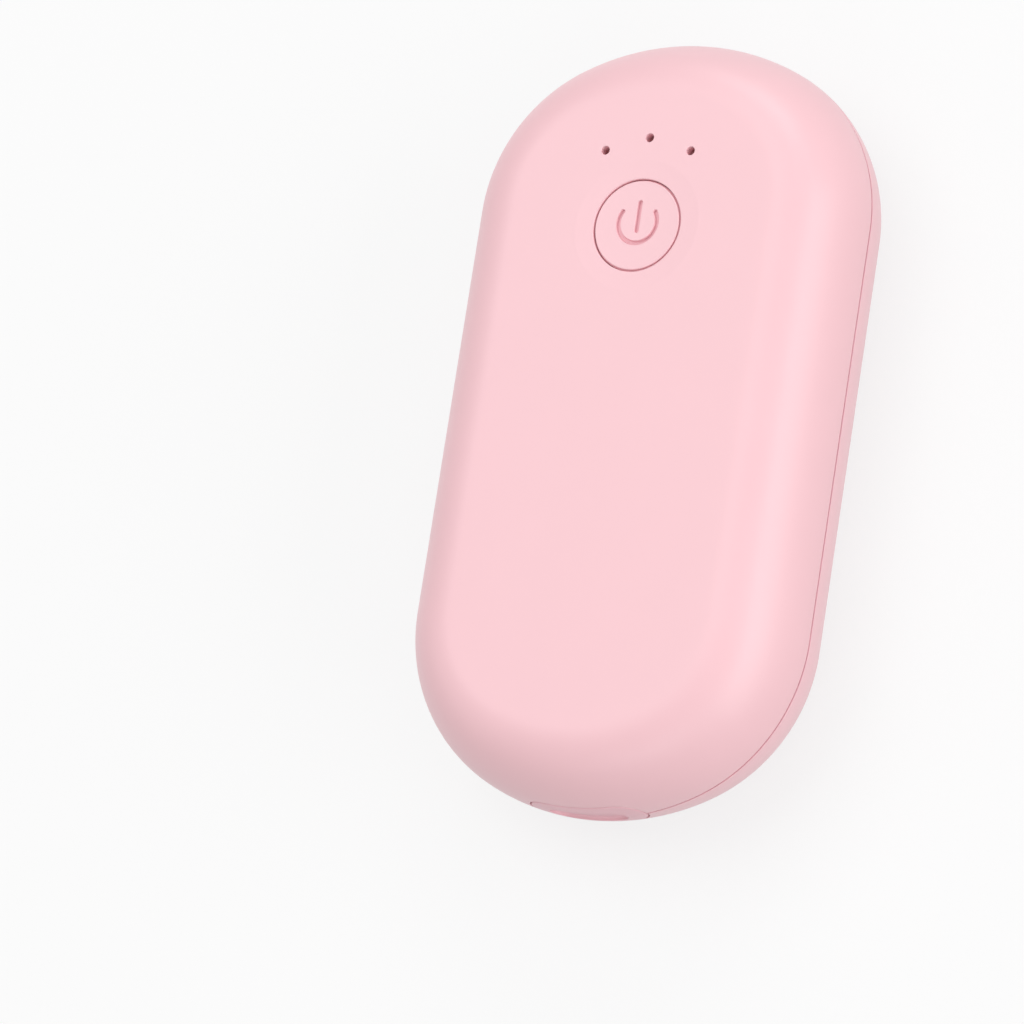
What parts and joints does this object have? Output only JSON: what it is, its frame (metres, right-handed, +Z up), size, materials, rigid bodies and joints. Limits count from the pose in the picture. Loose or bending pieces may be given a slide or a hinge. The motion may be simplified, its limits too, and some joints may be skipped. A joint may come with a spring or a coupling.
{
  "type": "rechargeable hand warmer",
  "caption": "Pocket-sized pink hand warmer with a rounded oblong two-part case, inset face panel, round power button, small light holes and a covered charging port.",
  "frame": {"origin": "middle of the flat face panel that the part rests on, at the bottom centre of its box", "axes": "+Y towards the end with the power button, so the charging port is at -Y; +Z up, out of the face with the button; +X across"},
  "size_m": [0.056, 0.1049, 0.024],
  "materials": {
    "shell_pink": "satin moulded pink",
    "panel_pink": "satin moulded pink",
    "button_pink": "satin moulded pink",
    "cover_pink": "soft matte pink",
    "tape": "thin double-sided tape",
    "light_guide": "clear moulded",
    "dark_plastic": "black moulded",
    "frame_white": "off-white moulded",
    "screw_steel": "zinc plated",
    "cell_foil": "laminated foil",
    "nickel": "nickel strip",
    "board_green": "solder mask",
    "foam_grey": "closed-cell foam",
    "wire_red": "wire sleeve",
    "wire_black": "wire sleeve",
    "wire_white": "wire sleeve",
    "heater_amber": "polyimide film",
    "spreader": "rolled sheet",
    "white_plastic": "off-white moulded",
    "lamp_white": "lamp package",
    "ferrite": "ferrite",
    "ceramic": "ceramic",
    "socket_steel": "drawn steel",
    "gold": "gold plated"
  },
  "bodies": {
    "case": {"panel_side_shell": "shell_pink", "button_side_shell": "shell_pink", "face_panel": "panel_pink", "panel_tape": "tape", "cover_tether": "cover_pink", "light_guide": "light_guide", "light_shroud": "dark_plastic", "mid_frame": "frame_white", "case_screws": "screw_steel", "board_screws": "screw_steel", "battery_cell": "cell_foil", "battery_tabs": "nickel", "protection_board": "board_green", "battery_foam": "foam_grey", "battery_lead_red": "wire_red", "battery_lead_black": "wire_black", "panel_heater_film": "heater_amber", "insulation_pad": "foam_grey", "heat_spreader": "spreader", "button_side_heater_film": "heater_amber", "heater_leads": "wire_white", "thermistor": "dark_plastic", "main_board": "board_green", "switch_housing": "dark_plastic", "switch_plate": "nickel", "indicator_lights": "lamp_white", "inductor": "ferrite", "controller_chip": "dark_plastic", "power_chips": "dark_plastic", "capacitors": "ceramic", "resistors": "dark_plastic", "wire_connectors": "white_plastic", "link_connectors": "white_plastic", "link_cable": "heater_amber", "usb_board": "board_green", "usb_socket_shell": "socket_steel", "usb_socket_insert": "dark_plastic", "usb_contacts": "gold"},
    "button": {"power_button": "button_pink", "switch_plunger": "white_plastic"},
    "port_cover": {"port_cover": "cover_pink"}
  },
  "joints": [
    {"name": "button_press", "type": "slide", "parent": "case", "child": "button", "axis": [0, 0, -1], "range_m": [0, 0.0004], "stiffness_N_per_m": 3000},
    {"name": "port_cover_swing", "type": "hinge", "parent": "case", "child": "port_cover", "pos_m": [0.0082, -0.05147, 0.012], "axis": [0, 0, 1], "range_deg": [0, 100]}
  ]
}
